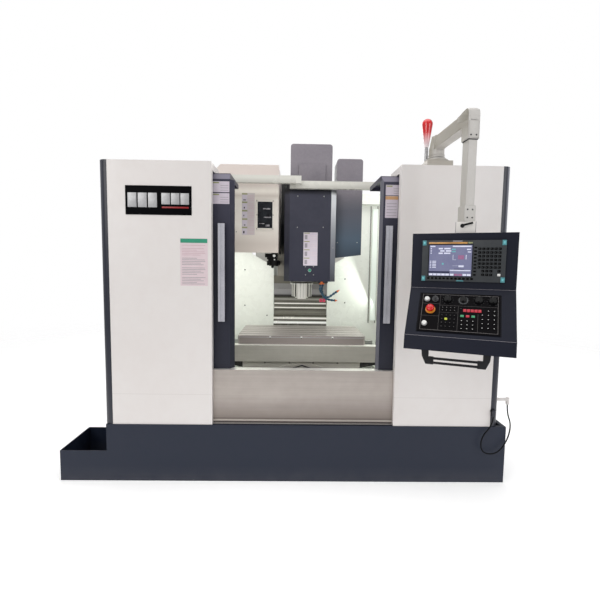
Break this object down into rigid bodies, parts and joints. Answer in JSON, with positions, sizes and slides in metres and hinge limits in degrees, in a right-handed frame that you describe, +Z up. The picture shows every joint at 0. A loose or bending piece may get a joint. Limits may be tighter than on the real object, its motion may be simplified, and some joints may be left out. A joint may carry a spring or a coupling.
{
  "type": "vertical machining centre",
  "caption": "Vertical milling machine with sliding doors, cross table, moving head, tool changer, rear cabinet and a swinging operator's panel over a wide coolant tank.",
  "frame": {"origin": "on the floor, at the centre of the four corner foundation bolts", "axes": "+Z up, -Y to the front where the operator stands, +X to the operator's right"},
  "size_m": [2.825, 3.0418, 2.355],
  "materials": {
    "cast_white": "satin",
    "panel_white": "satin",
    "navy": "satin",
    "steel": "brushed",
    "ground_steel": "ground",
    "cast_grey": "milled",
    "black_metal": "satin",
    "black_plastic": "matt",
    "white_plastic": "satin",
    "blue_plastic": "satin",
    "red_plastic": "gloss",
    "green_plastic": "gloss",
    "glass": "clear",
    "cable_rubber": "matt",
    "grey_panel": "satin"
  },
  "bodies": {
    "machine_frame": {"bed_casting": "cast_white", "column_casting": "cast_white", "levelling_feet": "steel", "coolant_tank": "navy", "left_front_cover": "panel_white", "right_front_cover": "panel_white", "left_side_panel": "panel_white", "right_side_panel": "panel_white", "front_apron": "steel", "header_beams": "panel_white", "inner_guards": "panel_white", "magazine_cover": "panel_white", "magazine_window": "glass", "tool_changer_box": "grey_panel", "electrical_cabinet": "panel_white", "signal_lamp": "red_plastic", "work_light": "glass", "supply_cable": "cable_rubber", "axis_servomotors": "black_metal"},
    "saddle": {"saddle_casting": "cast_white", "saddle_guard": "steel", "x_servomotor": "black_metal"},
    "table": {"work_table": "cast_grey"},
    "x_screw": {"x_ball_screw": "ground_steel"},
    "y_screw": {"y_ball_screw": "ground_steel"},
    "z_screw": {"z_ball_screw": "ground_steel"},
    "head": {"head_casting": "cast_white", "head_cover": "panel_white", "motor_cover": "panel_white", "duct_box": "panel_white", "spindle_cartridge": "ground_steel", "coolant_nozzles": "blue_plastic"},
    "spindle_shaft": {"spindle": "ground_steel"},
    "cover_1": {"column_cover_1": "steel"},
    "cover_2": {"column_cover_2": "steel"},
    "cover_3": {"column_cover_3": "steel"},
    "magazine": {"magazine_disc": "grey_panel"},
    "tool_arm": {"change_arm": "ground_steel"},
    "left_sliding_door": {"left_door": "navy", "left_door_glass": "glass", "left_door_handle": "steel"},
    "right_sliding_door": {"right_door": "navy", "right_door_glass": "glass", "right_door_handle": "steel"},
    "panel_arm": {"swing_arm": "panel_white"},
    "operator_panel": {"pendant_housing": "grey_panel", "display_unit": "black_plastic", "control_panel": "black_plastic", "pendant_handle": "steel"},
    "clamp": {"clamp_lever": "black_plastic"},
    "stop_button": {"emergency_stop": "red_plastic"},
    "start_push": {"start_button": "white_plastic"},
    "feed_push": {"feed_button": "white_plastic"},
    "lock": {"lock_switch": "steel"},
    "knob_1": {"selector_knob_1": "black_plastic"},
    "knob_2": {"selector_knob_2": "black_plastic"},
    "knob_3": {"selector_knob_3": "black_plastic"},
    "knob_4": {"selector_knob_4": "black_plastic"},
    "rear_door": {"cabinet_door": "panel_white"},
    "isolator": {"main_switch": "red_plastic"}
  },
  "joints": [
    {"name": "saddle_y", "type": "slide", "parent": "machine_frame", "child": "saddle", "axis": [0, 1, 0], "range_m": [-0.275, 0.275]},
    {"name": "table_x", "type": "slide", "parent": "saddle", "child": "table", "axis": [1, 0, 0], "range_m": [-0.4, 0.4]},
    {"name": "head_z", "type": "slide", "parent": "machine_frame", "child": "head", "axis": [0, 0, 1], "range_m": [-0.156, 0.394]},
    {"name": "spindle_turn", "type": "hinge", "parent": "head", "child": "spindle_shaft", "pos_m": [0, -0.24, 1.35], "axis": [0, 0, 1], "continuous": true},
    {"name": "x_screw_turn", "type": "hinge", "parent": "saddle", "child": "x_screw", "pos_m": [0, -0.24, 0.64], "axis": [1, 0, 0], "continuous": true},
    {"name": "y_screw_turn", "type": "hinge", "parent": "machine_frame", "child": "y_screw", "pos_m": [0, -0.2, 0.45], "axis": [0, 1, 0], "continuous": true},
    {"name": "z_screw_turn", "type": "hinge", "parent": "machine_frame", "child": "z_screw", "pos_m": [0, 0.455, 1.55], "axis": [0, 0, 1], "continuous": true},
    {"name": "cover_1_slide", "type": "slide", "parent": "machine_frame", "child": "cover_1", "axis": [0, 0, 1], "range_m": [-0.117, 0.2955]},
    {"name": "cover_2_slide", "type": "slide", "parent": "machine_frame", "child": "cover_2", "axis": [0, 0, 1], "range_m": [-0.078, 0.197]},
    {"name": "cover_3_slide", "type": "slide", "parent": "machine_frame", "child": "cover_3", "axis": [0, 0, 1], "range_m": [-0.039, 0.0985]},
    {"name": "magazine_turn", "type": "hinge", "parent": "machine_frame", "child": "magazine", "pos_m": [-0.59, -0.24, 1.751], "axis": [1, 0, 0], "continuous": true},
    {"name": "tool_arm_stroke", "type": "slide", "parent": "machine_frame", "child": "tool_arm", "axis": [0, 0, 1], "range_m": [-0.115, 0]},
    {"name": "left_door_slide", "type": "slide", "parent": "machine_frame", "child": "left_sliding_door", "axis": [1, 0, 0], "range_m": [0, 0.435]},
    {"name": "right_door_slide", "type": "slide", "parent": "machine_frame", "child": "right_sliding_door", "axis": [1, 0, 0], "range_m": [-0.457, 0]},
    {"name": "arm_swing", "type": "hinge", "parent": "machine_frame", "child": "panel_arm", "pos_m": [0.812, -1.085, 2.1], "axis": [0, 0, 1], "range_deg": [-30, 30]},
    {"name": "panel_swivel", "type": "hinge", "parent": "panel_arm", "child": "operator_panel", "pos_m": [0.82951, -1.54066, 1.59], "axis": [0, 0, 1], "range_deg": [-30, 45]},
    {"name": "clamp_lever_turn", "type": "hinge", "parent": "operator_panel", "child": "clamp", "pos_m": [0.79671, -1.57577, 1.569], "axis": [-0.4003, -0.9164, 0], "range_deg": [-20, 100]},
    {"name": "emergency_stop_push", "type": "slide", "parent": "operator_panel", "child": "stop_button", "axis": [0.3146, 0.7201, -0.6184], "range_m": [0, 0.005]},
    {"name": "start_button_push", "type": "slide", "parent": "operator_panel", "child": "start_push", "axis": [0.3146, 0.7201, -0.6184], "range_m": [0, 0.003], "stiffness_N_per_m": 250},
    {"name": "feed_button_push", "type": "slide", "parent": "operator_panel", "child": "feed_push", "axis": [0.3146, 0.7201, -0.6184], "range_m": [0, 0.003], "stiffness_N_per_m": 250},
    {"name": "lock_switch_turn", "type": "hinge", "parent": "operator_panel", "child": "lock", "pos_m": [0.66931, -1.5876, 1.18763], "axis": [-0.3146, -0.7201, 0.6184], "range_deg": [0, 90]},
    {"name": "knob_1_turn", "type": "hinge", "parent": "operator_panel", "child": "knob_1", "pos_m": [0.7238, -1.61276, 1.18606], "axis": [-0.3146, -0.7201, 0.6184], "range_deg": [-150, 150]},
    {"name": "knob_2_turn", "type": "hinge", "parent": "operator_panel", "child": "knob_2", "pos_m": [0.79253, -1.64278, 1.18606], "axis": [-0.3146, -0.7201, 0.6184], "range_deg": [-150, 150]},
    {"name": "knob_3_turn", "type": "hinge", "parent": "operator_panel", "child": "knob_3", "pos_m": [0.85851, -1.67161, 1.18606], "axis": [-0.3146, -0.7201, 0.6184], "range_deg": [-150, 150]},
    {"name": "knob_4_turn", "type": "hinge", "parent": "operator_panel", "child": "knob_4", "pos_m": [0.91715, -1.69723, 1.18606], "axis": [-0.3146, -0.7201, 0.6184], "range_deg": [-150, 150]},
    {"name": "cabinet_door_swing", "type": "hinge", "parent": "machine_frame", "child": "rear_door", "pos_m": [-0.489, 1.114, 1.32], "axis": [0, 0, 1], "range_deg": [0, 110]},
    {"name": "main_switch_turn", "type": "hinge", "parent": "rear_door", "child": "isolator", "pos_m": [0.32, 1.14, 1.5], "axis": [0, 1, 0], "range_deg": [0, 90]}
  ],
  "couplings": [
    {"joint": "x_screw_turn", "follows": "table_x", "rad_per_m": -628.32},
    {"joint": "y_screw_turn", "follows": "saddle_y", "rad_per_m": -628.32},
    {"joint": "z_screw_turn", "follows": "head_z", "rad_per_m": -628.32},
    {"joint": "cover_1_slide", "follows": "head_z", "ratio": 0.75},
    {"joint": "cover_2_slide", "follows": "head_z", "ratio": 0.5},
    {"joint": "cover_3_slide", "follows": "head_z", "ratio": 0.25}
  ]
}
